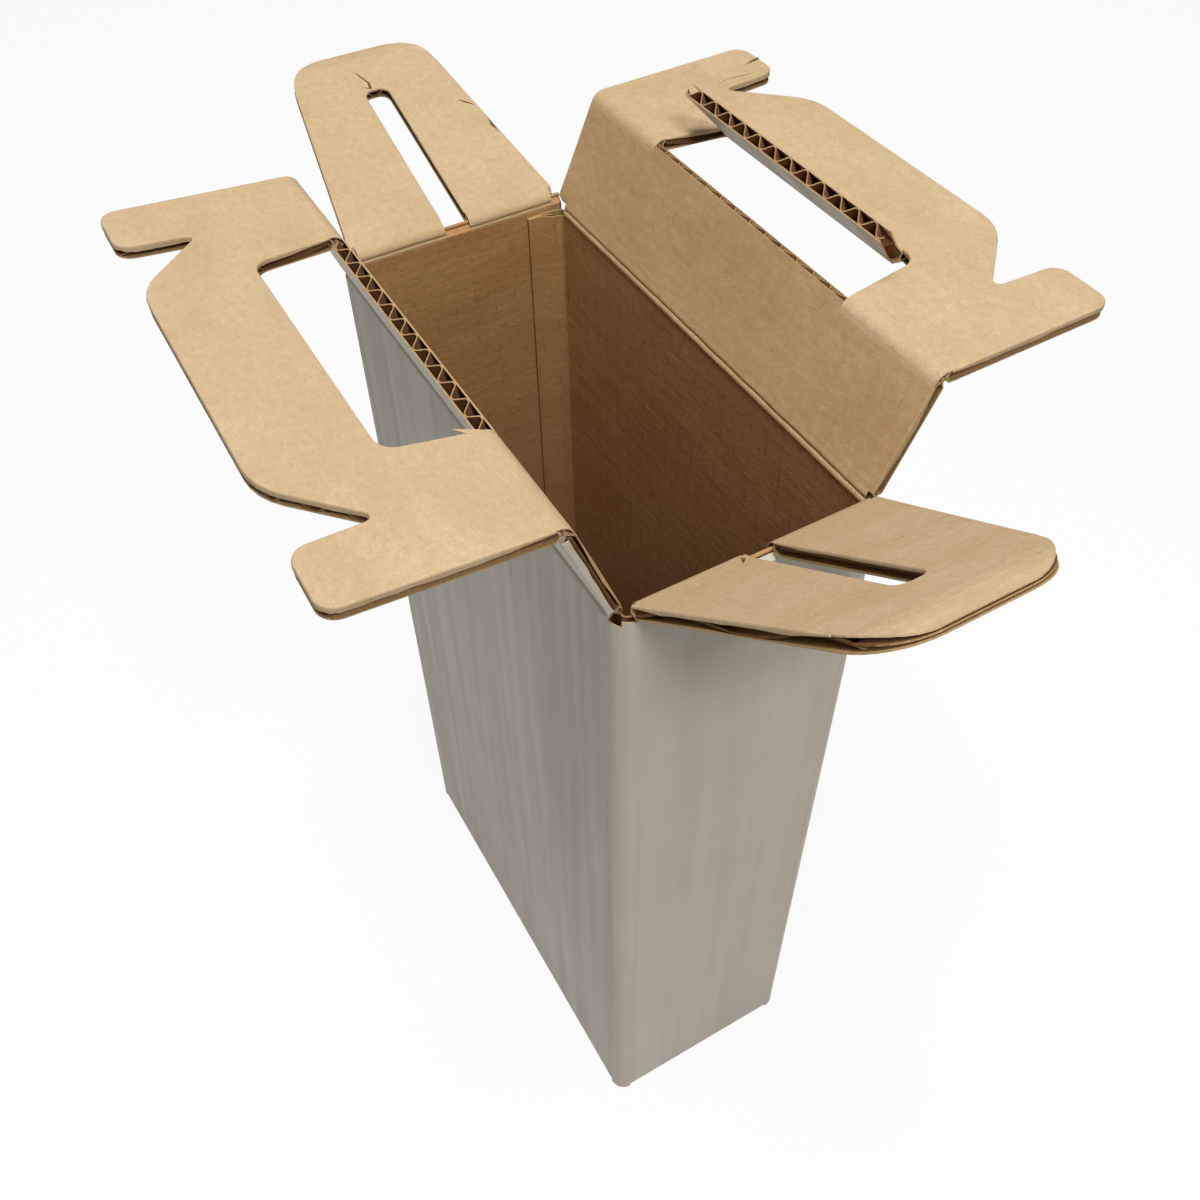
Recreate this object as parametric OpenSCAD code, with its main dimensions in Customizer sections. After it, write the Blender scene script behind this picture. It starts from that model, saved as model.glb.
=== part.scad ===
// Corrugated carrier box for two bottles, folded from one die-cut sheet of board.
// It stands open: both roof panels lean outwards, both handle panels lie nearly level,
// and the slotted end flaps hang out over the ends.
// X runs along the handle, Y across the box and Z up. The origin is the middle of the bottom.
// The front is at -Y, the near end at +X. Every panel is three sheets: a white outer liner,
// the wavy medium with its flutes, and a brown inner liner.

/* [Box] */
// Outside length, along the handle
box_length = 188; // [176:1:230]
// Outside depth, across the handle
box_depth = 86; // [80:1:110]
// Height of the fold lines of the end flaps
box_height = 328; // [250:1:380]
// Outside radius of the upright corners
corner_radius = 6; // [5:0.5:9]
// Outside radius of the bottom edges
bottom_radius = 3; // [2:0.25:4]

/* [Board] */
// Thickness of the corrugated board
board = 4.2; // [3.6:0.1:4.5]
// Thickness of each flat liner sheet
liner = 0.45; // [0.3:0.05:0.6]
// Thickness of the paper of the wavy medium
medium = 0.4; // [0.25:0.05:0.5]
// Length of one wave of the medium
flute = 7.9; // [7:0.1:9]

/* [Handle] */
// Height of the two arms at the ends of each handle panel
arm_height = 58.5; // [54:0.5:60]
// Width of each arm at its top
arm_width = 20.6; // [17:0.2:25]
// Radius of the corners of the arms
arm_corner = 5; // [3:0.5:8]
// Depth of the grip's top edge below the tops of the arms
grip_drop = 0.5; // [0:0.5:4]
// Length of the grip's top edge, before its corners are rounded
grip_length = 90; // [76:1:98]
// Radius of the grip's top corners
grip_corner = 18; // [8:0.5:20]
// Height of the bottom of each notch above the fold
notch_height = 35; // [32:0.5:38]
// Length of the hand hole along the fold
hole_length = 100; // [92:1:108]
// Length of the hand hole at its grip side, before its corners are rounded
hole_top = 92; // [84:1:96]
// Height of the hand hole above the fold
hole_height = 27; // [24:0.2:28]
// Radius of the hand hole's corners
hole_corner = 6; // [4:0.5:8]
// Gap between each end of the grip tab's free edge and the hole that it is cut from
tab_gap = 0.6; // [0.5:0.1:3]

/* [End flaps] */
// Length of each end flap from its fold
flap_length = 89; // [82:0.5:94]
// Width of each end flap at its fold
flap_base = 78; // [70:1:80]
// Width of each end flap at its tip, before its corners are rounded
flap_tip = 50; // [44:0.2:60]
// Radius of the corners at the tip of each end flap
flap_corner = 16; // [8:0.5:18]
// Length of the slot that goes over the handle's arms
slot_length = 67; // [64:0.5:70]
// Radius of the slot's blind corners
slot_corner = 3.5; // [2:0.1:3.5]
// Width of the flap that glues the blank into a tube
glue_width = 12; // [10:0.5:20]

/* [Bottom] */
// Reach of the front bottom flap past the middle of the box
main_reach = 12; // [8:0.5:18]
// Width of the locking tongue of the back bottom flap
tongue_width = 70; // [50:1:90]
// Length of the locking tongue
tongue_length = 20; // [14:0.5:24]
// Reach of the two end bottom flaps in from the end walls
dust_reach = 38; // [30:1:44]

/* [Open pose] */
// Outward lean of the front roof panel from upright, in degrees
front_roof_lean = 20.8; // [0:0.1:60]
// Outward lean of the back roof panel from upright, in degrees
back_roof_lean = 24.2; // [0:0.1:60]
// Outward lean of the front handle panel from upright, in degrees
front_handle_lean = 85.5; // [60:0.1:88]
// Outward lean of the back handle panel from upright, in degrees
back_handle_lean = 89; // [60:0.1:90]
// Outward lean of the near end flap from upright, in degrees
near_flap_lean = 54; // [0:1:87]
// Outward lean of the far end flap from upright, in degrees
far_flap_lean = 72; // [0:1:87]
// Angle of the raised grip tab from its handle panel, in degrees
tab_raise = 50; // [0:1:90]

/* [Hidden] */
PANELS = [
    "front_wall", "back_wall", "near_end_wall", "far_end_wall", "glue_flap",
    "front_bottom_flap", "back_bottom_flap", "near_bottom_flap", "far_bottom_flap",
    "front_roof", "back_roof", "front_handle", "back_handle", "grip_tab",
    "near_end_flap", "far_end_flap"
];
SHEETS = ["outer_liner", "medium", "inner_liner"];

// Running gap between boards that pass each other
clearance = 0.3;
// Die-cut gap between a cut piece and the hole it comes from
die_gap = 0.4;
// Half the board, and the height of a liner's middle above the board's mid-plane
mid = board / 2;
face = mid - liner / 2;
half_length = box_length / 2;
half_depth = box_depth / 2;

// Full board stops this far from a fold line, so that the fold can turn through a right angle
setback = mid + clearance;
// Crushed fold: a bead on the fold line, and lips of the next panel that start just past it
bead = 0.6;
lip_start = bead + clearance;
lip_flat = 0.4;
lip_gap = 0.1;
lip_root = 1;
// Holes that reach a fold are cut this far past it
overcut = 1;

// Fold lines lie on the board's mid-plane; the roof folds one half board below the end flaps
fold_y = half_depth - mid;
end_fold_z = box_height;
roof_fold_z = box_height - mid;

// The closed roof fits between the end walls, and its two handles stand back to back
roof_half = half_length - board - die_gap;
roof_width = fold_y - mid - clearance / 2;
// Only the arms fold: between them the roof's edge is cut through, clear of the arms' lips
arm_lip_start = hole_length / 2 - die_gap;

arm_inner = roof_half - arm_width;
grip_height = arm_height - grip_drop;
notch_inset = 1.4;
notch_corner = 2;

// The tab folds below the hole's edge, so that raised it passes through the other handle's hole
tab_fold = hole_height - setback - clearance;
tab_length = tab_fold - mid - clearance / 3;
hole_slant = (hole_length - hole_top) / 2 / hole_height;
tab_half_width = hole_length / 2 - hole_slant * (tab_fold - tab_length) - tab_gap;
hole_corner_x = hole_top / 2 - hole_corner;
corner_drop = hole_corner - (hole_height - tab_fold - mid);
tab_root = hole_corner_x + sqrt(pow(hole_corner, 2) - pow(corner_drop, 2)) - die_gap;
tab_neck = mid * 3;
tab_blend = 5;

// The slot takes both handle boards with a running gap on each side
slot_half = board + clearance / 2 + die_gap;

// The main bottom flaps lie on the ground, and the end ones one board higher
bottom_half = half_length - board - setback;
ramp_top = bottom_half + 2 * clearance;
dust_half = half_depth - board - lip_root;
dust_mitre = 12;
// The corner strips stop just above the ground
corner_lift = 0.6;
// Board pressed flat: the medium's waves lie folded over each other between the liners
pressed_medium = 1.5 * medium;
pressed_board = 2 * liner + pressed_medium;
// Run over which the board goes from full to pressed
press_run = 5;
// Tip of an end flap: the run over which it is pressed, the flat steps of that curve, and its spring-back
tip_run = 9;
tip_steps = 3;
tip_gap = 0.6;
// Flat steps in a rounded corner of up to 60 degrees
arc_steps = 4;

kraft_colour = [0.79, 0.66, 0.47];
medium_colour = [0.55, 0.41, 0.25];
white_colour = [0.84, 0.83, 0.79];

// Drawing functions

// Points along an arc from angle a0 to a1
function arc(centre, radius, a0, a1, steps = arc_steps) = [
    for (i = [0 : steps])
        let (a = a0 + (a1 - a0) * i / steps)
        centre + radius * [cos(a), sin(a)]
];

function reverse(points) = [for (i = [len(points) - 1 : -1 : 0]) points[i]];
function unit(v) = v / norm(v);
function flat(p) = [p.x, p.y];

// One corner [x, y, radius] of an outline as its rounded points
function corner(before, at, after) =
    at[2] == 0 ? [flat(at)] :
    let (
        u = unit(flat(before) - flat(at)),
        v = unit(flat(after) - flat(at)),
        half = acos(u * v) / 2,
        centre = flat(at) + unit(u + v) * at[2] / sin(half),
        start = flat(at) + u * at[2] / tan(half) - centre,
        a0 = atan2(start.y, start.x),
        turn = (cross(u, v) > 0 ? -1 : 1) * (180 - 2 * half)
    )
    arc(centre, at[2], a0, a0 + turn, abs(turn) > 60 ? 2 * arc_steps : arc_steps);

// Closed outline from corners [x, y, radius]
function rounded(corners) =
    let (n = len(corners))
    [for (i = [0 : n - 1]) each corner(corners[(i + n - 1) % n], corners[i], corners[(i + 1) % n])];

// The same corners on the other side of the middle, in turning order
function mirrored(corners) = [for (c = reverse(corners)) [-c.x, c.y, c[2]]];

// Unit normal of a line, and the mitred normal at point i of a path
function side_of(a, b) = let (d = unit(b - a)) [-d.y, d.x];
function mitre(path, i) =
    let (
        last = len(path) - 1,
        before = side_of(path[max(i - 1, 0)], path[max(i, 1)]),
        after = side_of(path[min(i, last - 1)], path[min(i + 1, last)]),
        both = before + after
    )
    both * 2 / (both * both);

// Closed outline of a sheet of thickness t along an open path
function thicken(path, t) = concat(
    [for (i = [0 : len(path) - 1]) path[i] + mitre(path, i) * t / 2],
    reverse([for (i = [0 : len(path) - 1]) path[i] - mitre(path, i) * t / 2])
);

// One wave of the medium: flat where it is glued to a liner, sloping between
wave_angles = [25, 50, 75, 105, 130, 155, 205, 230, 255, 285, 310, 335];
wave_reach = (board - 2 * liner - medium) / 2;
crest_clip = 1.104;
function crest(a) = wave_reach * max(-1, min(1, crest_clip * cos(a)));
function wave(x0, x1) = [
    for (k = [floor(x0 / flute) - 1 : ceil(x1 / flute)], a = wave_angles)
        [(k + a / 360) * flute, crest(a)]
];

// Sheets in a panel's own plane: x along the fold, y away from it, z towards the white face

// Strip of liner from x0 to x1, bent along the path drawn in y and z
module strip(path, x0, x1) {
    translate([x0, 0, 0])
        rotate([90, 0, 90])
            linear_extrude(x1 - x0)
                polygon(thicken(path, liner));
}

// Wavy medium from x0 to x1, with its flutes running from y0 to y1
module waves(x0, x1, y0, y1) {
    translate([0, y1, 0])
        rotate([90, 0, 0])
            linear_extrude(y1 - y0)
                intersection() {
                    polygon(thicken(wave(x0, x1), medium));
                    translate([x0, -board])
                        square([x1 - x0, 2 * board]);
                }
}

// Crushed start of a panel just past its fold line; side is 1 for white and -1 for brown
function fold_start(side) = [
    [lip_start, side * liner / 2],
    [lip_start + lip_flat, side * liner / 2],
    [setback, side * face]
];

// Crushed end of a panel up to the fold line at y = 0
function fold_end(side) = side > 0
    ? [[-setback, face], [-lip_start - lip_gap, liner / 2 + lip_gap]]
    : [[-setback, -face], [-lip_start, -liner / 2], [0, 0]];

function moved(path, y) = [for (p = path) [p.x + y, p.y]];
function turned(path, y) = [for (p = path) [y - p.x, p.y]];

// Bead of the brown liner along a fold line at y
module fold_bead(y, x0, x1) {
    translate([x0, y, 0])
        rotate([0, 90, 0])
            cylinder(r = bead, h = x1 - x0, $fn = 24);
}

// Space through the board inside an outline, less its holes
module die(outline, hole = []) {
    linear_extrude(2 * board, center = true)
        difference() {
            polygon(outline);
            if (len(hole) > 0)
                polygon(hole);
        }
}

function side(sheet) = sheet == "outer_liner" ? 1 : -1;
function colour(sheet) =
    sheet == "outer_liner" ? white_colour :
    sheet == "medium" ? medium_colour : kraft_colour;

// Walls, drawn as the front wall with its outer face at y = -reach and then turned into place

// Line at one depth below a wall's outer face, with half of each upright corner.
// left and right are [end, corner radius]; a radius of 0 is a cut edge.
function wall_line(left, right, reach, depth) = concat(
    left[1] == 0 ? [[left[0], depth - reach]] :
        arc([left[0] + left[1], left[1] - reach], left[1] - depth, 225, 270),
    right[1] == 0 ? [[right[0], depth - reach]] :
        arc([right[0] - right[1], right[1] - reach], right[1] - depth, 270, 315)
);

module wall_liner(left, right, reach, depth, z0, z1) {
    translate([0, 0, z0])
        linear_extrude(z1 - z0)
            polygon(concat(
                wall_line(left, right, reach, depth),
                reverse(wall_line(left, right, reach, depth + liner))
            ));
}

// Outer corner strips that come down past the bottom bend
module corner_feet(left, right, reach) {
    for (end = [[left, 225, 270, 1], [right, 270, 315, -1]])
        if (end[0][1] > 0)
            translate([end[0][0] + end[3] * end[0][1], end[0][1] - reach, corner_lift])
                linear_extrude(bottom_radius - corner_lift)
                    polygon(concat(
                        arc([0, 0], end[0][1], end[1], end[2]),
                        arc([0, 0], end[0][1] - liner, end[2], end[1])
                    ));
}

// Bend of the outer liner from a wall into its bottom flap
module bottom_bend(reach, x0, x1) {
    translate([x0, bottom_radius - reach, bottom_radius])
        rotate([90, 0, 90])
            linear_extrude(x1 - x0)
                polygon(concat(
                    arc([0, 0], bottom_radius, 180, 270),
                    arc([0, 0], bottom_radius - liner, 270, 180)
                ));
}

// Fold line at the top of a wall, and the panel that leans out from it
module on_fold(reach, z, lean) {
    translate([0, mid - reach, z])
        rotate([90 + lean, 0, 0])
            children();
}

// Wall between two upright corners with a fold along its top.
// floor_z is the top of the bottom flap that it carries.
module wall(sheet, left, right, reach, fold_z, floor_z, bend_half) {
    x0 = left[0] + left[1];
    x1 = right[0] - right[1];
    inner_top = roof_fold_z - setback;
    if (sheet == "medium")
        translate([0, mid - reach, 0])
            rotate([90, 0, 0])
                waves(x0 + lip_root, x1 - lip_root, floor_z, fold_z - setback);
    if (sheet == "outer_liner") {
        wall_liner(left, right, reach, 0, bottom_radius, fold_z - setback);
        corner_feet(left, right, reach);
        bottom_bend(reach, -bend_half, bend_half);
    }
    if (sheet == "inner_liner") {
        wall_liner(left, right, reach, board - liner, floor_z, inner_top);
        on_fold(reach, fold_z, 0)
            fold_bead(0, x0, x1);
    }
    s = side(sheet);
    if (sheet != "medium")
        on_fold(reach, fold_z, 0)
            strip(concat([[inner_top - fold_z - lip_root, s * face]], fold_end(s)), x0, x1);
}

module front_wall(sheet)
    color(colour(sheet))
        wall(sheet, [-half_length, corner_radius], [half_length, corner_radius],
            half_depth, roof_fold_z, board, bottom_half);

// The back wall turns the far corner inside the far end wall, where the glue flap goes on from it
module back_wall(sheet)
    color(colour(sheet))
        rotate([0, 0, 180])
            wall(sheet, [-half_length, corner_radius], [half_length - board, corner_radius],
                half_depth, roof_fold_z, board, bottom_half);

module near_end_wall(sheet)
    color(colour(sheet))
        rotate([0, 0, 90])
            wall(sheet, [-half_depth, corner_radius], [half_depth, corner_radius],
                half_length, end_fold_z, 2 * board, dust_half);

module far_end_wall(sheet)
    color(colour(sheet))
        rotate([0, 0, -90])
            wall(sheet, [-half_depth + mid, 0], [half_depth, corner_radius],
                half_length, end_fold_z, 2 * board, dust_half);

// The glue flap's board is full at its corner and pressed flat where it is glued
module glue_flap(sheet) {
    left = [-half_depth, corner_radius];
    right = board + glue_width - half_depth;
    reach = half_length - board;
    z0 = 2 * board + clearance;
    z1 = roof_fold_z - mid - clearance;
    x0 = left[0] + left[1] + lip_root;
    function pressed(depth) = [[x0 + press_run, depth - reach], [right, depth - reach]];
    function pressed_liner(depth) = concat(
        wall_line(left, [x0, 0], reach, depth),
        pressed(depth + pressed_board - board)
    );
    function pressed_waves(side) = concat(
        [[x0, mid + side * pressed_medium / 2 - reach]],
        pressed(liner + (1 + side) * pressed_medium / 2)
    );
    color(colour(sheet))
        rotate([0, 0, -90])
            if (sheet == "outer_liner")
                wall_liner(left, [right, 0], reach, 0, z0, z1);
            else
                translate([0, 0, z0])
                    linear_extrude(z1 - z0)
                        polygon(sheet == "medium"
                            ? concat(pressed_waves(-1), reverse(pressed_waves(1)))
                            : concat(pressed_liner(board - liner), reverse(pressed_liner(board))));
}

// Bottom flaps, drawn with z down because their white face is down

// Main flap from a long wall to its tip; the outer liner starts at the end of the bend
module main_bottom_flap(sheet, outline, tip) {
    y0 = (sheet == "outer_liner" ? bottom_radius : board - liner) - half_depth;
    z = side(sheet) * face;
    color(colour(sheet))
        translate([0, 0, mid])
            mirror([0, 0, 1])
                intersection() {
                    if (sheet == "medium")
                        waves(-bottom_half, bottom_half, y0, tip);
                    else
                        strip([[y0, z], [tip, z]], -bottom_half, bottom_half);
                    die(outline);
                }
}

// Front bottom flap, cut out in the middle for the tongue of the back one
module front_bottom_flap(sheet) {
    half = tongue_width / 2;
    outline = [
        [-bottom_half, -half_depth], [bottom_half, -half_depth], [bottom_half, main_reach],
        [half, main_reach], [half, main_reach - tongue_length],
        [-half, main_reach - tongue_length], [-half, main_reach], [-bottom_half, main_reach]
    ];
    main_bottom_flap(sheet, outline, main_reach);
}

// Back bottom flap, whose tongue fills the front one's cut-out
module back_bottom_flap(sheet) {
    half = tongue_width / 2 - clearance;
    root = -main_reach - clearance;
    tip = root + tongue_length;
    outline = [
        [-bottom_half, -half_depth], [bottom_half, -half_depth], [bottom_half, root], [half, root],
        [half, tip], [-half, tip], [-half, root], [-bottom_half, root]
    ];
    rotate([0, 0, 180])
        main_bottom_flap(sheet, outline, tip);
}

// End bottom flap: it comes up over the main flaps from the foot of its wall
module end_bottom_flap(sheet) {
    tip = board + dust_reach - half_length;
    outline = [
        [-dust_half, -half_length], [dust_half, -half_length], [dust_half, tip - dust_mitre],
        [dust_half - dust_mitre, tip], [dust_mitre - dust_half, tip], [-dust_half, tip - dust_mitre]
    ];
    intersection() {
        if (sheet == "medium")
            waves(-dust_half, dust_half, -ramp_top, tip);
        else if (sheet == "outer_liner")
            strip([
                [bottom_radius - half_length, board + face],
                [bottom_radius - half_length + lip_flat, board + face],
                [-ramp_top, face],
                [tip, face]
            ], -dust_half, dust_half);
        else
            strip([[board - liner - half_length, -face], [tip, -face]], -dust_half, dust_half);
        translate([0, 0, mid])
            die(outline);
    }
}

module near_bottom_flap(sheet)
    color(colour(sheet))
        translate([0, 0, board + mid])
            rotate([0, 0, 90])
                mirror([0, 0, 1])
                    end_bottom_flap(sheet);

module far_bottom_flap(sheet)
    color(colour(sheet))
        translate([0, 0, board + mid])
            rotate([0, 0, -90])
                mirror([0, 0, 1])
                    end_bottom_flap(sheet);

// Roof panel: folded at both sides, with a straight cut edge between the arms of its handle
module roof(sheet) {
    if (sheet == "medium") {
        waves(-roof_half, roof_half, setback, roof_width - setback);
        waves(-arm_lip_start, arm_lip_start, roof_width - setback, roof_width);
    } else {
        s = side(sheet);
        strip(concat(fold_start(s), [[roof_width, s * face]]), -arm_lip_start, arm_lip_start);
        for (x = [arm_lip_start, -roof_half]) {
            x1 = x + roof_half - arm_lip_start;
            strip(concat(fold_start(s), moved(fold_end(s), roof_width)), x, x1);
            if (sheet == "inner_liner")
                fold_bead(roof_width, x, x1);
        }
    }
}

// Handle panel: two arms, two notches with a slanted shoulder, and the grip over the hand hole
function handle_half() = [
    [roof_half, 0, 0],
    [roof_half, arm_height, arm_corner],
    [arm_inner, arm_height, arm_corner],
    [arm_inner - notch_inset, notch_height, notch_corner],
    [grip_length / 2, grip_height, grip_corner]
];
function hole_half() = [
    [hole_length / 2, -overcut, 0],
    [hole_length / 2, 0, 0],
    [hole_top / 2, hole_height, hole_corner]
];
module handle(sheet, has_tab) {
    s = side(sheet);
    outline = rounded(concat(handle_half(), mirrored(handle_half())));
    hole = rounded(concat(hole_half(), mirrored(hole_half())));
    intersection() {
        if (sheet == "medium")
            waves(-roof_half, roof_half, setback, arm_height);
        else
            strip(concat(fold_start(s), [[arm_height, s * face]]), -roof_half, roof_half);
        die(outline, hole);
    }
    tab_edge = concat([[tab_fold - hole_height - lip_root, s * face]], fold_end(s));
    if (has_tab && sheet != "medium")
        strip(turned(tab_edge, tab_fold), -hole_corner_x, hole_corner_x);
    if (has_tab && sheet == "inner_liner")
        fold_bead(tab_fold, -hole_corner_x, hole_corner_x);
}

// Grip tab, cut from the back handle's hole and still folded to its grip side
function tab_half() = [
    [tab_root, 0, 0],
    [tab_root, tab_neck, tab_blend],
    [tab_half_width, tab_length, 0]
];
module tab(sheet) {
    intersection() {
        if (sheet == "medium")
            waves(-tab_half_width, tab_half_width, setback, tab_length);
        else
            strip(concat(fold_start(side(sheet)), [[tab_length, side(sheet) * face]]),
                -tab_half_width, tab_half_width);
        die(rounded(concat(tab_half(), mirrored(tab_half()))));
    }
}

// End flap, with the slot that goes over both handles' arms and a tip that the cutting pressed thin
module end_flap(sheet) {
    sides = [[flap_base / 2, 0, 0], [flap_tip / 2, flap_length, flap_corner]];
    slot = [[slot_half, -overcut, 0], [slot_half, slot_length, slot_corner]];
    full = flap_length - tip_run;
    tip_face = mid - pressed_board - tip_gap + liner / 2;
    paths = [
        concat(fold_start(1), [[flap_length, face]]),
        [[full - lip_root, 0], [full, 0], [flap_length, (face + tip_face) / 2]],
        concat(fold_start(-1), [
            for (i = [0 : tip_steps])
                let (k = i / tip_steps)
                [full + k * tip_run, (tip_face + face) * k * k - face]
        ])
    ];
    intersection() {
        union() {
            strip(paths[search([sheet], SHEETS)[0]], -flap_base / 2, flap_base / 2);
            if (sheet == "medium")
                waves(-flap_base / 2, flap_base / 2, setback, full - clearance);
        }
        die(rounded(concat(sides, mirrored(sides))), rounded(concat(slot, mirrored(slot))));
    }
}

module front_roof(sheet)
    color(colour(sheet))
        on_fold(half_depth, roof_fold_z, front_roof_lean)
            roof(sheet);

module back_roof(sheet)
    color(colour(sheet))
        rotate([0, 0, 180])
            on_fold(half_depth, roof_fold_z, back_roof_lean)
                roof(sheet);

module front_handle(sheet)
    color(colour(sheet))
        on_fold(half_depth, roof_fold_z, front_roof_lean)
            translate([0, roof_width, 0])
                rotate([front_handle_lean - front_roof_lean, 0, 0])
                    handle(sheet, false);

module on_back_handle()
    rotate([0, 0, 180])
        on_fold(half_depth, roof_fold_z, back_roof_lean)
            translate([0, roof_width, 0])
                rotate([back_handle_lean - back_roof_lean, 0, 0])
                    children();

module back_handle(sheet)
    color(colour(sheet))
        on_back_handle()
            handle(sheet, true);

module grip_tab(sheet)
    color(colour(sheet))
        on_back_handle()
            translate([0, tab_fold, 0])
                rotate([0, 0, 180])
                    rotate([-tab_raise, 0, 0])
                        tab(sheet);

module near_end_flap(sheet)
    color(colour(sheet))
        rotate([0, 0, 90])
            on_fold(half_length, end_fold_z, near_flap_lean)
                end_flap(sheet);

module far_end_flap(sheet)
    color(colour(sheet))
        rotate([0, 0, -90])
            on_fold(half_length, end_fold_z, far_flap_lean)
                end_flap(sheet);

for (s = SHEETS) {
    front_wall(s);
    back_wall(s);
    near_end_wall(s);
    far_end_wall(s);
    glue_flap(s);
    front_bottom_flap(s);
    back_bottom_flap(s);
    near_bottom_flap(s);
    far_bottom_flap(s);
    front_roof(s);
    back_roof(s);
    front_handle(s);
    back_handle(s);
    grip_tab(s);
    near_end_flap(s);
    far_end_flap(s);
}
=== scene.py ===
"""Corrugated bottle carrier box, standing open, dressed in its real papers.

Every panel of the folded sheet keeps its three solids: outer liner, fluted medium and
inner liner. Bent strips of liner close the creases, bent through each fold's angle, and
the liners' cut edges are rounded as the cutting rule leaves them."""
import math
import random

import bpy
from mathutils import Matrix, Vector


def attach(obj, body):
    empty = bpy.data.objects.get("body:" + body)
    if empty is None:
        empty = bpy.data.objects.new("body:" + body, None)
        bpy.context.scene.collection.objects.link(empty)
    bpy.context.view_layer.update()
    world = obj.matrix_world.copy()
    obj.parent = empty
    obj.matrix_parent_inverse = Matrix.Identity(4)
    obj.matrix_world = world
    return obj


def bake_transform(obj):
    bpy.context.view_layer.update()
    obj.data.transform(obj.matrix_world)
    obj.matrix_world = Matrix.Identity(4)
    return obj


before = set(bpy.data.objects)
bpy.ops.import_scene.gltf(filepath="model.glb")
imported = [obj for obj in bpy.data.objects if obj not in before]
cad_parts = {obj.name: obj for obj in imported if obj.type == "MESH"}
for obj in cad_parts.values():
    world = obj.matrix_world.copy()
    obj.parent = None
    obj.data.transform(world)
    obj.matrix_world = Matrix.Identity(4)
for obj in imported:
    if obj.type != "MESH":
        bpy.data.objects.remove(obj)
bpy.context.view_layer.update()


# Walls: four upright panels of the one sheet, glued into a tube at the far left corner.
# White-top kraft board: a bleached face on brown stock outside, brown kraft inside, and
# the wavy medium between them. Its flutes run up the walls.
MM = 0.001
BOARD = 4.2 * MM
FLUTE = 7.9 * MM
HALF_LENGTH, HALF_DEPTH = 94 * MM, 43 * MM
FRONT, BACK, NEAR, FAR = 0, 180, 90, -90


def paint(hex_colour):
    """sRGB hex to linear colour."""
    parts = [int(hex_colour[i : i + 2], 16) / 255 for i in (1, 3, 5)]
    return [c / 12.92 if c <= 0.04045 else ((c + 0.055) / 1.055) ** 2.4 for c in parts] + [1]


def add(tree, kind, inputs, **settings):
    """Add a node. Inputs go by name or in order, and take a value, an output or a node.

    A node stands for its first output."""
    node = tree.nodes.new("ShaderNode" + kind)
    for key, value in settings.items():
        setattr(node, key, value)
    for key, value in inputs.items() if isinstance(inputs, dict) else enumerate(inputs):
        if isinstance(value, bpy.types.Node):
            value = value.outputs[0]
        if isinstance(value, bpy.types.NodeSocket):
            tree.links.new(value, node.inputs[key])
        else:
            node.inputs[key].default_value = value
    return node


def new_material(name):
    material = bpy.data.materials.new(name)
    material.use_nodes = True
    material.node_tree.nodes.clear()
    return material, material.node_tree


def in_panel(tree, turn, what="Object"):
    """Place or normal in a panel's own plane, and its x along the fold, y along the flutes and
    z out of the white face."""
    place = add(tree, "TexCoord", []).outputs[what]
    turned = add(tree, "Mapping", {"Vector": place, "Rotation": turn}, vector_type="TEXTURE")
    return turned, add(tree, "SeparateXYZ", [turned]).outputs


def fibres(tree, place, along, across, detail=3):
    """Cloudy noise in the paper, sizes in metres along its fold and along its flutes."""
    size = (1 / along, 1 / across, 1 / across)
    cloud = {"Vector": add(tree, "Mapping", {"Vector": place, "Scale": size}), "Scale": 1,
             "Detail": detail, "Roughness": 0.6}
    return add(tree, "TexNoise", cloud)


def flute_lines(tree, place, shift):
    """Washboard: 0 between two glued crests and 1 on a crest."""
    wave = {"Vector": place, "Scale": math.pi / 10 / FLUTE, "Phase Offset": shift,
            "Distortion": 0.25, "Detail": 1, "Detail Scale": 30}
    return add(tree, "TexWave", wave, bands_direction="X").outputs["Fac"]


def tinted(tree, colour, *tints):
    """Lay tints over a colour. Each goes from its first share to its second as its pattern
    goes from low to high: (pattern, low, high, first share, second share, tint)."""
    for pattern, low, high, first, second, tint in tints:
        share = add(tree, "MapRange", [pattern, low, high, first, second])
        colour = add(tree, "Mix", {0: share, 6: colour, 7: tint}, data_type="RGBA").outputs[2]
    return colour


def embossed(tree, *layers):
    """Relief of the paper's face from layers of (pattern, depth in metres)."""
    relief = {}
    for pattern, depth in layers:
        bump = add(tree, "Bump", {"Strength": 1, "Distance": depth, "Height": pattern, **relief})
        relief = {"Normal": bump}
    return bump


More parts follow.
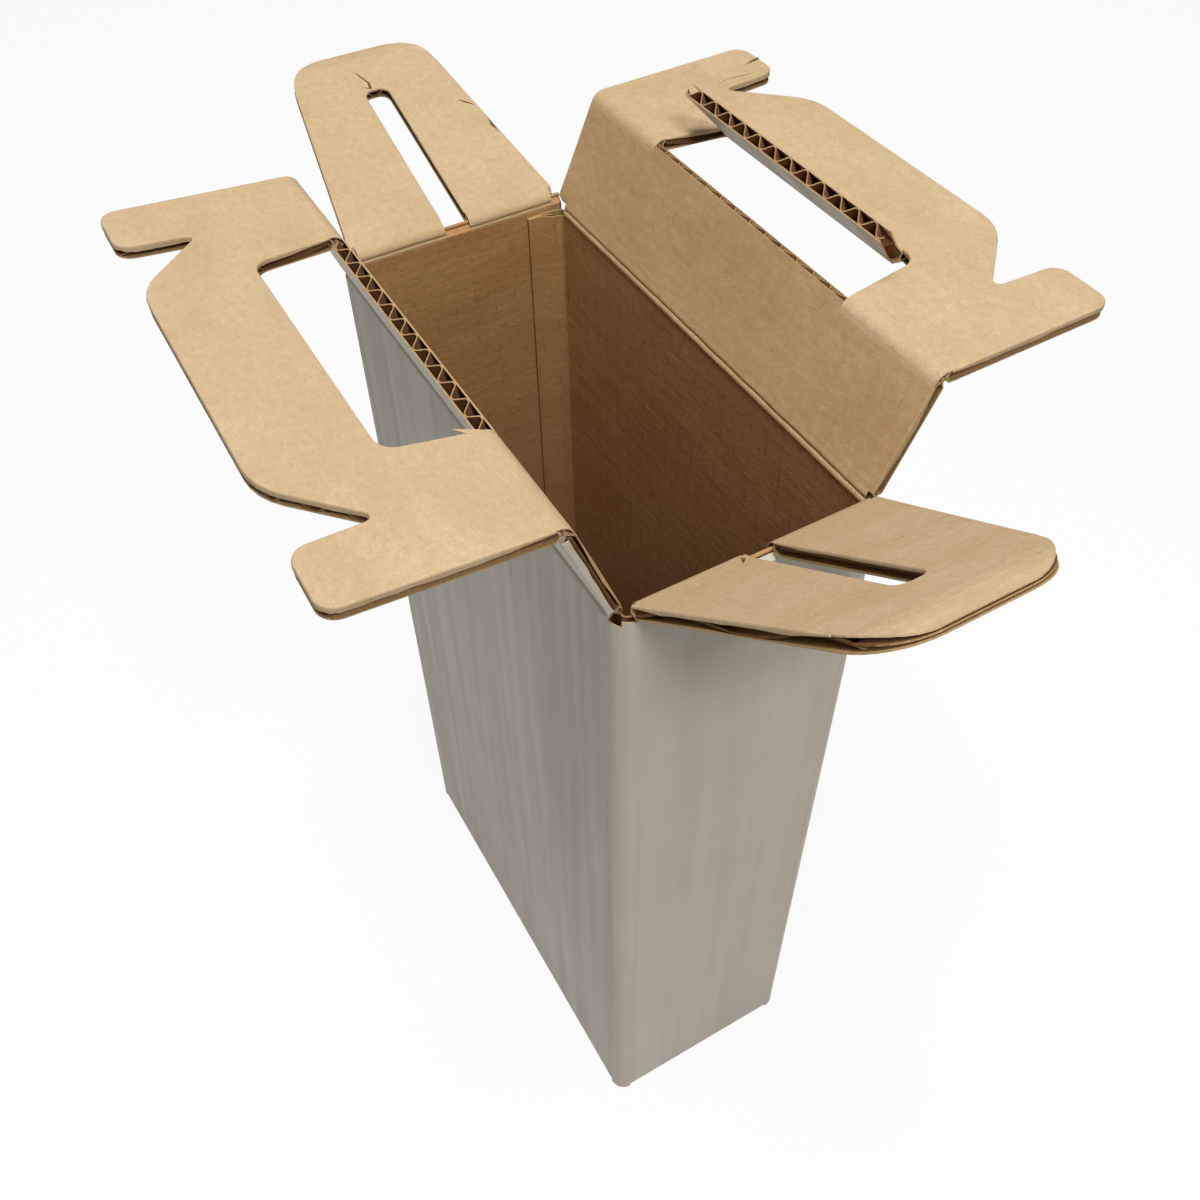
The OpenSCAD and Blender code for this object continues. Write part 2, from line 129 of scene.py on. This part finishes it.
def kraft_liner(name, turn, inside):
    # Unbleached kraft linerboard, machine finished: dull brown with drawn-out clouds of
    # fibre, a fine mottle, rare specks of bark, and the flutes showing through as a faint
    # washboard with short dark rubs on the glued crests. In the box it takes painted shade:
    # darker browns, and darker still towards the foot. Real fibres are about 0.03 mm thick:
    # the grain is drawn 0.7 mm coarse, so that it shows.
    # Painted shade: a panel in the box takes the darker second colour of each pair, by its inside
    # share.
    def with_painted_shade(in_light, in_painted_shade):
        share = min(inside, 1)
        return [a + (b - a) * share for a, b in zip(paint(in_light), paint(in_painted_shade))]

    material, tree = new_material("kraft_liner_" + name)
    place, (along, up, _) = in_panel(tree, turn)
    clouds = fibres(tree, place, 30 * MM, 16 * MM)
    mottle = fibres(tree, place, 3 * MM, 2.2 * MM, 5)
    grain = fibres(tree, place, 0.7 * MM, 0.6 * MM, 2)
    cockle = fibres(tree, place, 26 * MM, 4 * MM, 2)
    specks = add(tree, "TexVoronoi", {"Vector": place, "Scale": 1 / (34 * MM)})
    from_crest = add(tree, "Math", [along, FLUTE], operation="DIVIDE")
    from_crest = add(tree, "Math", [from_crest], operation="FRACT")
    from_crest = add(tree, "Math", [from_crest, 0.5], operation="SUBTRACT")
    from_crest = add(tree, "Math", [from_crest], operation="ABSOLUTE")
    crest = add(tree, "MapRange", [from_crest, 0.02, 0.06, 1, 0])
    worn = add(tree, "MapRange", [fibres(tree, place, 5 * MM, 9 * MM, 2), 0.52, 0.66, 0, 1])
    rubs = add(tree, "Math", [crest, worn], operation="MULTIPLY")
    # Each pair of colours is the lit brown and a darker painted-shade brown for the box's inside.
    colour = tinted(tree, with_painted_shade("#D0B58C", "#C0935F"),
                    (clouds, 0.35, 0.65, 0, 1, with_painted_shade("#D9C09B", "#CBA16D")),
                    # Painted shade: panels in the box darken towards their foot, where little light
                    # reaches.
                    (up, 100 * MM, 325 * MM, 0.6 * inside, 0, paint("#7C5630")),
                    (mottle, 0.35, 0.75, 0, 0.45, with_painted_shade("#BD9D73", "#9C7448")),
                    (grain, 0.4, 0.8, 0, 0.4, with_painted_shade("#AD8C61", "#8A6439")),
                    (specks, 0.008, 0.016, 0.5, 0, paint("#7A5B38")),
                    (rubs, 0, 1, 0, 0.4 if inside >= 1 else 0.1, paint("#6A4A2A")))
    relief = embossed(tree, (flute_lines(tree, place, 0), 0.07 * MM),
                      (cockle, (0.12 + 0.04 * inside) * MM),
                      (mottle, (0.08 + 0.04 * inside) * MM), (grain, 0.05 * MM))
    dull = add(tree, "MapRange", [mottle, 0.3, 0.7, 0.7, 0.85])
    paper = add(tree, "BsdfPrincipled", {"Base Color": colour, "Normal": relief, "Roughness": dull,
                                         "Specular IOR Level": 0.3, "IOR": 1.5})
    add(tree, "OutputMaterial", [paper])
    return material


def bleached_liner(name, turn, score, cut=True):
    # Bleached white top on unbleached stock: warm off-white and slightly satin on its
    # outer face, with the flutes as faint upright bands, and brown on its back and on
    # every cut edge. score is where a wall's corner crease lies from its middle. The
    # grain is drawn about 1 mm coarse, since the real one is too fine to show.
    material, tree = new_material("bleached_liner_" + name)
    place, (along, _, _) = in_panel(tree, turn)
    clouds = fibres(tree, place, 60 * MM, 45 * MM)
    grain = fibres(tree, place, 1.2 * MM, 0.7 * MM, 2)
    streaks = fibres(tree, place, 5 * MM, 140 * MM, 1)
    colour = tinted(tree, paint("#D4C9B6"), (clouds, 0.3, 0.7, 0, 1, paint("#DBD1BF")),
                    (grain, 0.4, 0.8, 0, 0.2, paint("#C6BBA4")),
                    (streaks, 0.45, 0.8, 0, 0.1, paint("#CABFAA")))
    if cut:
        _, (_, _, outward) = in_panel(tree, turn, "Normal")
        stock = tinted(tree, paint("#C4A272"), (grain, 0.3, 0.7, 0, 1, paint("#A98656")))
        colour = tinted(tree, colour, (outward, 0.03, 0.08, 1, 0, stock))
    layers = [(flute_lines(tree, place, math.pi), 0.015 * MM), (clouds, 0.8 * MM)]
    if score:
        from_middle = add(tree, "Math", [along], operation="ABSOLUTE")
        beside = add(tree, "Math", [from_middle, score], operation="SUBTRACT")
        beside = add(tree, "Math", [beside], operation="ABSOLUTE")
        layers.append((add(tree, "MapRange", [beside, 0, 1.6 * MM, 0, 1]), 0.35 * MM))
    relief = embossed(tree, *layers, (grain, 0.015 * MM))
    satin = add(tree, "MapRange", [streaks, 0.3, 0.7, 0.45, 0.58])
    paper = add(tree, "BsdfPrincipled", {"Base Color": colour, "Normal": relief, "Roughness": satin,
                                         "Specular IOR Level": 0.4, "IOR": 1.5})
    add(tree, "OutputMaterial", [paper])
    return material


def fluting(name, turn):
    # Semi-chemical fluting medium: thin and dull, with short coarse fibres, and a paler fuzzy
    # edge where the rule has cut across the flutes. Its faces in the hollow of the board are
    # painted dark brown as painted shade. Its grain too is drawn much coarser than the fibres.
    material, tree = new_material("fluting_" + name)
    place, _ = in_panel(tree, turn)
    mottle = fibres(tree, place, 3 * MM, 3 * MM, 4)
    grain = fibres(tree, place, 0.6 * MM, 0.6 * MM, 2)
    _, (_, up, _) = in_panel(tree, turn, "Normal")
    across_flutes = add(tree, "Math", [up], operation="ABSOLUTE")
    # Painted shade: faces inside the board are painted dark; only cut faces keep the medium's own
    # pale kraft.
    hollow_shade = tinted(tree, paint("#6B4A2C"), (mottle, 0.3, 0.7, 0, 1, paint("#805B38")))
    cut_edge = tinted(tree, paint("#B58E60"), (mottle, 0.3, 0.7, 0, 1, paint("#CBA778")))
    colour = tinted(tree, hollow_shade, (across_flutes, 0.6, 0.85, 0, 1, cut_edge),
                    (grain, 0.35, 0.8, 0, 0.5, paint("#6F4E2F")))
    relief = embossed(tree, (grain, 0.06 * MM))
    paper = add(tree, "BsdfPrincipled", {"Base Color": colour, "Normal": relief, "Roughness": 0.92,
                                         "Specular IOR Level": 0.2, "IOR": 1.5})
    add(tree, "OutputMaterial", [paper])
    return material


papers = {}


def dress(panel, lean, side, inside=0.0, score=0):
    """Give a panel's three sheets their papers. lean is from upright, side turns about Z, and
    inside is the painted shade on the brown liner: 0 for a panel in the open, 1 for one in the
    box, and more for a panel deeper in shade, darker still at its foot."""
    turn = (math.radians(90 + lean), 0, math.radians(side))
    papers[panel] = {"outer_liner": bleached_liner(panel, turn, score),
                     "medium": fluting(panel, turn), "inner_liner": kraft_liner(panel, turn, inside)}
    for sheet, material in papers[panel].items():
        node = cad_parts[panel + "_" + sheet]
        for slot in node.material_slots:
            slot.material = material
        if not node.material_slots:
            node.data.materials.append(material)
    papers[panel]["folded_outer_liner"] = bleached_liner(panel + "_fold", turn, 0, False)


SCORE_IN = 6.5 * MM
# Painted shade on the brown liner: full for the panels in the box, deeper on the far end wall and
# glue flap.
PAINTED_SHADE, SHADED = 1, 1.5
dress("front_wall", 0, FRONT, PAINTED_SHADE, HALF_LENGTH - SCORE_IN)
dress("back_wall", 0, BACK, PAINTED_SHADE, HALF_LENGTH - SCORE_IN)
dress("near_end_wall", 0, NEAR, PAINTED_SHADE, HALF_DEPTH - SCORE_IN)
dress("far_end_wall", 0, FAR, SHADED, HALF_DEPTH - SCORE_IN)
dress("glue_flap", 0, FAR, SHADED)


# Bottom: two main flaps and two end flaps of the same sheet, folded in and locked by the
# back flap's tongue. White face down, brown face up inside the box.
# The bottom flaps' brown face takes the full painted shade of the box.
for panel, side in (("front", FRONT), ("back", BACK), ("near", NEAR), ("far", FAR)):
    dress(panel + "_bottom_flap", -90, side, PAINTED_SHADE)


# Roof panels: they lean out from the tops of the long walls on a pressed crease. The
# brown liner is pressed into a narrow line there, with a soft ridge under it. The back
# crease stops short of the glue flap.
WALL_FOLD_DROP = 2.1 * MM
END_FOLD_HEIGHT = 328 * MM
ROOF_FOLD_HEIGHT = END_FOLD_HEIGHT - WALL_FOLD_DROP
ROOF_WIDTH = 38.65 * MM
ROOF_HALF = 89.4 * MM
SETBACK = 2.4 * MM
FRONT_ROOF_LEAN, BACK_ROOF_LEAN = 20.8, 24.2


def fold_line(side, reach, height, lean):
    """Place of a fold: x along it, y away from it in the next panel, z out of the white face."""
    middle = Matrix.Translation((0, BOARD / 2 - reach, height))
    upright = Matrix.Rotation(math.radians(90 + lean), 4, "X")
    return Matrix.Rotation(math.radians(side), 4, "Z") @ middle @ upright


def new_piece(name, points, faces, material):
    mesh = bpy.data.meshes.new(name)
    mesh.from_pydata(points, [], faces)
    mesh.update()
    mesh.shade_smooth()
    mesh.set_sharp_from_angle(angle=math.radians(45))
    mesh.materials.append(material)
    piece = bpy.data.objects.new(name, mesh)
    bpy.context.collection.objects.link(piece)
    return piece


def strip_faces(sections, size):
    """Quads round a row of sections of size points each, with its two ends capped."""
    faces = []
    for start in range(0, (sections - 1) * size, size):
        for k in range(size):
            following = (k + 1) % size
            faces.append((start + k, start + following, start + size + following, start + size + k))
    last = (sections - 1) * size
    return faces + [tuple(range(size))[::-1], tuple(range(last, last + size))]


def pressed(dip, half, line=0, line_half=1, line_at=0, ridge=0, ridge_at=0):
    """Height of a liner over a fold at y from it, for one wander of the press, in millimetres.

    It dips over the round of the fold. A pressed line and a soft ridge may lie beside it, and
    the line wanders by 0.08 mm and a fifth of its depth."""
    def bell(y, at, width):
        return math.exp(-(((y - at) / width) ** 2))

    def height(y, wander):
        groove = line * (1 + 0.2 * wander) * bell(y, line_at + 0.08 * wander, line_half)
        return ridge * bell(y, ridge_at, 0.7) - dip * bell(y, 0, half) - groove
    return height


# Where a strip's section has its points, in millimetres from the fold: close together
# where the press leaves its lines.
SECTION = (-2.9, -2.6, -2.3, -2.1, -1.9, -1.75, -1.6, -1.45, -1.3, -1.1, -0.8, -0.6, -0.4, -0.2, 0,
           0.2, 0.4, 0.8, 1.2, 1.6, 2, 2.4, 2.8, 3.4, 4.2)
OVER_FACE, STRIP_THICK, STRIP_STEP = 0.04 * MM, 0.3 * MM, 3 * MM


def swung(angle, y, z):
    """A point of a section turned about its fold."""
    return y * math.cos(angle) - z * math.sin(angle), y * math.sin(angle) + z * math.cos(angle)


def crease(name, place, bend, ends, panel, brown, white):
    """Close a fold with a strip of each liner, bent from one panel into the next."""
    rng = random.Random(name)
    steps = max(2, round((ends[1] - ends[0]) / STRIP_STEP))
    wander = [rng.uniform(-1, 1) for _ in range(steps + 1)]
    bend = math.radians(bend)
    for sheet, slot, face, height in (("inner_liner", "kraft_liner", -1, brown),
                                      ("outer_liner", "white_liner", 1, white)):
        points = []
        for i in range(steps + 1):
            x = ends[0] + (ends[1] - ends[0]) * i / steps
            outer, inner = [], []
            for y in SECTION:
                level = BOARD / 2 + OVER_FACE + height(y, wander[i]) * MM
                over = min(max((y * MM + SETBACK) / (2 * SETBACK), 0), 1)
                angle = bend * over * over * (3 - 2 * over)
                for row, z in ((outer, face * level), (inner, face * (level - STRIP_THICK))):
                    row.append(place @ Vector((x, *swung(angle, y * MM, z))))
            points += outer + inner[::-1]
        paper = papers[panel]["folded_outer_liner" if face > 0 else sheet]
        faces = strip_faces(steps + 1, 2 * len(SECTION))
        piece = new_piece(name + "_" + sheet, points, faces, paper)
        z = face * BOARD / 2
        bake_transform(piece)


# Section of a rim, in millimetres out from the cut edge and down from the liner's face.
# None is the depth to which the rule has pressed it.
RIM = ((-1.1, -0.02), (-0.7, -0.05), (-0.3, -0.06), (-0.02, -0.02), (0.16, 0.12), (0.28, 0.36),
       (0.33, 0.6), (0.3, None), (0.05, None), (-0.1, 0.6), (-1.1, 0.2))


def rim(name, place, outline, drop, body, face=-1):
    """Round a liner over a cut edge: the brown one, or the white one at face 1.

    outline runs anticlockwise round the board, seen from the white face. The rim is ragged by
    a third of its depth, and the brown one flattens to a third of it at its two ends."""
    rng = random.Random(name)
    points, raggedness, last = [], 0, len(outline) - 1
    for i, (x, y) in enumerate(outline):
        before, after = outline[max(i - 1, 0)], outline[min(i + 1, last)]
        run = Vector((after[0] - before[0], after[1] - before[1])).normalized()
        raggedness = 0.6 * raggedness + rng.uniform(-0.4, 0.4)
        fade = 1 if face > 0 else min(1, i / 3, (last - i) / 3)
        for out, down in RIM:
            down = drop * (1 + 0.35 * raggedness) if down is None else down * MM
            z = face * (BOARD / 2 - (0.35 + 0.65 * fade) * down)
            points.append(place @ Vector((x + run.y * out * MM, y - run.x * out * MM, z)))
    paper = papers[body]["folded_outer_liner" if face > 0 else "inner_liner"]
    piece = new_piece(name, points, strip_faces(last + 1, len(RIM)), paper)
    if face > 0:
        piece.data.flip_normals()
    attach(piece, body)


def rounded(corners):
    """Points of an open outline through corners (x, y, radius), in millimetres."""
    points = []
    for i, (x, y, radius) in enumerate(corners):
        if radius == 0:
            points.append((x * MM, y * MM))
            continue
        at = Vector((x, y))
        way_back = (Vector(corners[i - 1][:2]) - at).normalized()
        way_on = (Vector(corners[i + 1][:2]) - at).normalized()
        half = way_back.angle(way_on) / 2
        centre = at + (way_back + way_on).normalized() * radius / math.sin(half)
        first = at + way_back * radius / math.tan(half) - centre
        turn = math.copysign(math.pi - 2 * half, -way_back.cross(way_on))
        count = 8 if abs(turn) > math.radians(60) else 4
        for k in range(count + 1):
            arm = Matrix.Rotation(turn * k / count, 2) @ first
            points.append(((centre + arm).x * MM, (centre + arm).y * MM))
    return points


def spaced(points):
    """Put more points, 4 mm apart, into the long straight runs of an outline."""
    closer = [points[0]]
    for a, b in zip(points, points[1:]):
        count = max(1, round(math.dist(a, b) / (4 * MM)))
        closer += [(a[0] + (b[0] - a[0]) * k / count, a[1] + (b[1] - a[1]) * k / count)
                   for k in range(1, count + 1)]
    return closer


def both_halves(half):
    """An outline from its half at +x, with the other half mirrored after it."""
    return half + [(-x, y, radius) for x, y, radius in reversed(half)]


GROOVE = pressed(0, 1, line=0.45, line_half=0.35, ridge=0.3, ridge_at=-1.3)
VALLEY = pressed(0.9, 1.4)
# The roofs' brown liner takes half the painted shade of the box's inside.
HALF_PAINTED_SHADE = 0.5
planes = {}
for roof, side, lean, ends in (("front_roof", FRONT, FRONT_ROOF_LEAN, (-88 * MM, 88 * MM)),
                               ("back_roof", BACK, BACK_ROOF_LEAN, (-88 * MM, 83.8 * MM))):
    dress(roof, lean, side, HALF_PAINTED_SHADE)
    planes[roof] = fold_line(side, HALF_DEPTH, ROOF_FOLD_HEIGHT, lean)
    fold = fold_line(side, HALF_DEPTH, ROOF_FOLD_HEIGHT, 0)
    crease(roof + "_crease", fold, lean, ends, roof, GROOVE, VALLEY)
for roof, near_sign, drop in (("front_roof", 1, 0.9 * MM), ("back_roof", -1, 1.9 * MM)):
    for end, sign in (("near", near_sign), ("far", -near_sign)):
        x = sign * ROOF_HALF
        cut = spaced([(x, SETBACK), (x, ROOF_WIDTH - SETBACK)][::sign])
        rim(f"{roof}_{end}_edge", planes[roof], cut, drop, roof)
        if roof == "front_roof":
            rim(f"{roof}_{end}_white_edge", planes[roof], cut, 2 * MM, roof, 1)


# Handle panels: cut with the roof panels and folded out nearly level on two arms. Each
# has a hand hole, two notches and a grip. The brown liner rounds the fold without a line.
FRONT_HANDLE_LEAN, BACK_HANDLE_LEAN = 85.5, 89
HANDLE_OUTLINE = both_halves([(89.4, 2.6, 0), (89.4, 58.5, 5), (68.8, 58.5, 5), (67.4, 35, 2),
                              (45, 58, 18)])
HAND_HOLE = both_halves([(49.62, 2.6, 0), (46, 27, 6)])[::-1]
HOLE_HALF = 49.6 * MM
SOFT_BEND = pressed(0.55, 1.6)
TIGHT_BEND = pressed(1.1, 1.8)
for end, side, lean, roof_lean in (("front", FRONT, FRONT_HANDLE_LEAN, FRONT_ROOF_LEAN),
                                   ("back", BACK, BACK_HANDLE_LEAN, BACK_ROOF_LEAN)):
    roof, handle, bend = end + "_roof", end + "_handle", lean - roof_lean
    dress(handle, lean, side)
    fold = planes[roof] @ Matrix.Translation((0, ROOF_WIDTH, 0))
    for arm, ends in (("a", (-ROOF_HALF, -HOLE_HALF)), ("b", (HOLE_HALF, ROOF_HALF))):
        crease(f"{handle}_crease_{arm}", fold, bend, ends, handle, SOFT_BEND,
               TIGHT_BEND)
    planes[handle] = fold @ Matrix.Rotation(math.radians(bend), 4, "X")
    rim(handle + "_edge", planes[handle], spaced(rounded(HANDLE_OUTLINE)), 1.8 * MM, handle)
    rim(end + "_hand_hole_edge", planes[handle], spaced(rounded(HAND_HOLE)), 1.4 * MM, handle)


# Grip tab: the piece cut from the back handle's hole. It stays joined along the grip and
# stands up from it. Its cut edges show the flutes.
TAB_RAISE = 50
TAB_FOLD = Matrix.Translation((0, 24.3 * MM, 0)) @ Matrix.Rotation(math.pi, 4, "Z")
TAB_HALF = 40 * MM
dress("grip_tab", BACK_HANDLE_LEAN + TAB_RAISE, BACK)
crease("grip_tab_crease", planes["back_handle"] @ TAB_FOLD, -TAB_RAISE, (-TAB_HALF, TAB_HALF),
       "grip_tab", TIGHT_BEND, SOFT_BEND)


# End flaps: slotted flaps on the short walls that go over the arms of both handles. They
# fold on the same pressed crease, split in two by the slot. Their tips are crushed thin.
NEAR_FLAP_LEAN, FAR_FLAP_LEAN = 54, 72
FLAP_HALF, SLOT_HALF = 37 * MM, 4.75 * MM
FLAP_SIDE = [(38.6 * MM, 2.6 * MM), (27.4 * MM, 74 * MM)]
FLAP_SLOT = both_halves([(4.75, 2.6, 0), (4.75, 67, 3.5)])[::-1]
FLAP_BEND = pressed(0.45, 1.7, line=0.35, line_half=0.3, line_at=-1.6)
for flap, side, lean, drop in (("near_end_flap", NEAR, NEAR_FLAP_LEAN, 1.5 * MM),
                               ("far_end_flap", FAR, FAR_FLAP_LEAN, 1.1 * MM)):
    dress(flap, lean, side)
    fold = fold_line(side, HALF_LENGTH, END_FOLD_HEIGHT, 0)
    planes[flap] = fold_line(side, HALF_LENGTH, END_FOLD_HEIGHT, lean)
    for part, ends in (("a", (-FLAP_HALF, -SLOT_HALF)), ("b", (SLOT_HALF, FLAP_HALF))):
        crease(f"{flap}_crease_{part}", fold, lean, ends, flap, FLAP_BEND, VALLEY)
    rim(flap + "_edge_a", planes[flap], spaced(FLAP_SIDE), drop, flap)
    rim(flap + "_edge_b", planes[flap], spaced([(-x, y) for x, y in FLAP_SIDE[::-1]]), drop, flap)
    rim(flap + "_slot_edge", planes[flap], spaced(rounded(FLAP_SLOT)), 0.9 * MM, flap)


# Torn places from use: shreds of the brown liner lifted beside slits, at the front
# hand hole's corner, on the back handle's far arm, and round the slots of both end flaps.
# A slit is a thin sheet of the medium on the brown face, the medium showing through,
# painted dark as the shade in the crack. Each kind has its thickness in millimetres, its
# sheet and its slot.
FLAKE = (0.3, "inner_liner", "kraft_liner")
# Painted shade: a slit's dark sheet of medium stands in for the shade in a crack.
SLIT_SHADE = (0.04, "medium", "fluted_medium")


def torn(name, body, kind, *outline):
    """A flake or a slit lying on a panel's brown face. outline is (x, y, lift) in millimetres."""
    thick, sheet, slot = kind
    count = len(outline)
    points = [planes[body] @ Vector((x * MM, y * MM, -BOARD / 2 - (lift - under) * MM))
              for under in (0, thick) for x, y, lift in outline]
    faces = [tuple(range(count)), tuple(range(count, 2 * count))[::-1]]
    faces += [(i, i + count, (i + 1) % count + count, (i + 1) % count) for i in range(count)]
    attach(new_piece(name, points, faces, papers[body][sheet]), body)


torn("front_handle_nib", "front_handle", FLAKE, (50.2, 0.8, 0.08), (51.0, 3.0, 0.05),
     (49.2, 5.6, 0.15), (46.2, 8.2, 0.15), (47.8, 5.0, 0.15), (49.0, 2.4, 0.1))
torn("arm_split", "back_handle", SLIT_SHADE, (79.9, 58.8, 0.06), (78.4, 58.8, 0.06), (77.9, 55.5, 0.06),
     (77.5, 52.0, 0.06), (78.8, 55.3, 0.06))
torn("arm_shred", "back_handle", FLAKE, (68.5, 35.4, 0.1), (70.9, 36.4, 0.05), (71.9, 42.0, 0.18),
     (71.1, 47.0, 0.15), (70.9, 53.0, 0.05), (69.4, 54.6, 0.05), (69.2, 48.0, 0.12),
     (68.8, 42.0, 0.12))
torn("arm_slit", "back_handle", SLIT_SHADE, (71.1, 36.6, 0.06), (72.3, 42.0, 0.06), (71.6, 47.6, 0.06),
     (71.0, 52.0, 0.06), (70.6, 47.0, 0.06), (70.8, 41.0, 0.06))
torn("far_slot_crack", "far_end_flap", SLIT_SHADE, (0.9, 67.5, 0.06), (0.5, 70.4, 0.06),
     (2.2, 74.3, 0.06), (3.4, 77.2, 0.06), (3.0, 74.0, 0.06), (1.6, 70.3, 0.06), (2.0, 67.5, 0.06))
torn("far_slot_shred", "far_end_flap", FLAKE, (2.0, 67.8, 0.5), (1.7, 70.2, 0.7), (3.1, 73.9, 0.5),
     (3.5, 76.8, 0.1), (4.9, 73.4, 0.05), (4.3, 69.2, 0.05))
torn("far_edge_split", "far_end_flap", SLIT_SHADE, (-25.9, 51.9, 0.06), (-28.6, 50.2, 0.06),
     (-31.2, 47.0, 0.06), (-28.2, 49.5, 0.06))
torn("far_edge_nick", "far_end_flap", SLIT_SHADE, (-32.5, 40.0, 0.09), (-31.9, 36.5, 0.09),
     (-33.4, 32.2, 0.09), (-33.0, 36.0, 0.09))
torn("near_slot_split", "near_end_flap", SLIT_SHADE, (-5.0, 3.4, 0.09), (-7.2, 5.2, 0.09),
     (-8.6, 8.6, 0.09), (-6.2, 5.8, 0.09))
torn("near_slot_shred", "near_end_flap", FLAKE, (-4.6, 2.7, 0.3), (-6.8, 4.4, 0.6),
     (-6.0, 6.4, 0.3), (-4.4, 4.8, 0.1))


# Floor: plain matt white sheet under the box. The camera, gloss and glass see it almost
# white, and it keeps a soft shadow and stays dark under the box, behind the bottom's slits.
WHITE = (1, 1, 1, 1)


def seen(tree):
    """1 for the camera's rays and those seen in gloss or through glass, 0 for the light's own."""
    rays = add(tree, "LightPath", []).outputs
    eye = add(tree, "Math", [rays["Is Camera Ray"], rays["Is Glossy Ray"]], operation="MAXIMUM")
    return add(tree, "Math", [eye, rays["Is Transmission Ray"]], operation="MAXIMUM")


bpy.ops.mesh.primitive_plane_add(size=12)
floor = bpy.context.object
floor.name = "studio_floor"
material, tree = new_material("matt_white_sweep")
colour = tinted(tree, paint("#D2D2D0"), (seen(tree), 0, 1, 0, 1, paint("#FAFAFA")))
matt = add(tree, "BsdfDiffuse", [colour])
ways = add(tree, "SeparateXYZ", [add(tree, "TexCoord", []).outputs["Object"]]).outputs
long_way, short_way = (add(tree, "Math", [way], operation="ABSOLUTE") for way in (ways[0], ways[1]))
beyond = add(tree, "Math", [add(tree, "Math", [long_way, HALF_LENGTH], operation="DIVIDE"),
                            add(tree, "Math", [short_way, HALF_DEPTH], operation="DIVIDE")],
             operation="MAXIMUM")
open_floor = add(tree, "MapRange", [beyond, 0.95, 0.99, 0, 0.93])
share = add(tree, "Math", [seen(tree), open_floor], operation="MULTIPLY")
bright = add(tree, "Emission", [WHITE, 1])
add(tree, "OutputMaterial", [add(tree, "MixShader", [share, matt, bright])])
floor.data.materials.append(material)


# Light: a lamp almost overhead, a little in front, a weaker one high over the near end,
# and a dim even room, whose walls are seen white.
def lamp(name, place, size, watts):
    """Square area lamp aimed at the upper half of the box, its size in metres."""
    data = bpy.data.lights.new(name, "AREA")
    data.shape, data.size, data.energy = "SQUARE", size, watts
    obj = bpy.data.objects.new(name, data)
    obj.location = place
    obj.rotation_euler = (Vector((0, 0, 0.25)) - Vector(place)).to_track_quat("-Z", "Y").to_euler()
    bpy.context.collection.objects.link(obj)


lamp("top_lamp", (0.1, -0.19, 1.84), 0.45, 16.5)
lamp("end_lamp", (0.99, -0.05, 1.5), 0.3, 9.5)
world = bpy.data.worlds.new("pale_room")
bpy.context.scene.world = world
world.use_nodes = True
tree = world.node_tree
tree.nodes.clear()
dim, white = add(tree, "Background", [WHITE, 0.08]), add(tree, "Background", [WHITE, 1])
add(tree, "OutputWorld", [add(tree, "MixShader", [seen(tree), dim, white])])
bpy.context.scene.view_settings.view_transform = "Standard"


# Camera: held high over the upright corner between the front and the near end, leaning
# a little to one side.
AZIMUTH, ELEVATION, ROLL = math.radians(60.84), math.radians(48.68), math.radians(-0.96)
EYE = (0.2639, -0.1432, 0.5615)
SENSOR, LENS = 36, 36.64
level = math.cos(ELEVATION)
back = Vector((math.sin(AZIMUTH) * level, -math.cos(AZIMUTH) * level, math.sin(ELEVATION)))
right = Vector((math.cos(AZIMUTH), math.sin(AZIMUTH), 0))
up = back.cross(right)
right, up = (math.cos(ROLL) * right + math.sin(ROLL) * up,
             math.cos(ROLL) * up - math.sin(ROLL) * right)
view = bpy.data.cameras.new("photo_view")
view.sensor_width, view.lens = SENSOR, LENS
camera = bpy.data.objects.new("photo_view", view)
camera.matrix_world = Matrix.Translation(EYE) @ Matrix((right, up, back)).transposed().to_4x4()
bpy.context.collection.objects.link(camera)
bpy.context.scene.camera = camera
